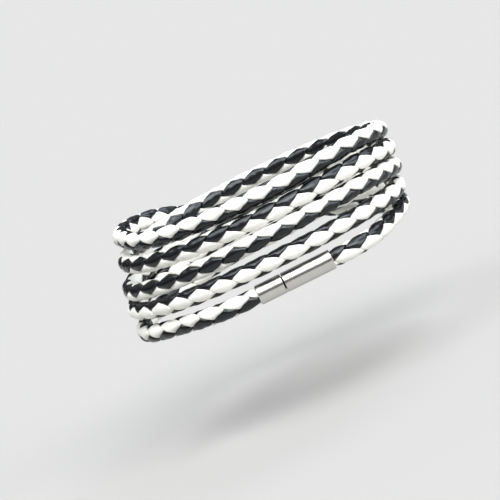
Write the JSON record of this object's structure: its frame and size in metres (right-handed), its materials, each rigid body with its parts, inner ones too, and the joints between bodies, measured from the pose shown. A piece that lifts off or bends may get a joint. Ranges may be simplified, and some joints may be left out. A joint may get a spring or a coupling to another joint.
{
  "type": "wrap bracelet",
  "caption": "Round black and white braided leather cord wound in side-by-side laps round the wrist, its ends joined in line by a plain steel tube clasp.",
  "frame": {"origin": "middle of the hollow that the wrist fills", "axes": "+Z along the wrist toward the elbow, +X the wide way across the wrist, +Y through the wrist from the clasp to the back"},
  "size_m": [0.0794, 0.0632, 0.0283],
  "materials": {
    "leather": "smooth, semi-gloss, woven of white and black strands",
    "steel": "polished with fine brush lines"
  },
  "bodies": {
    "root": {"braided_cord": "leather", "clasp_socket": "steel", "clasp_plug": "steel"}
  },
  "joints": []
}
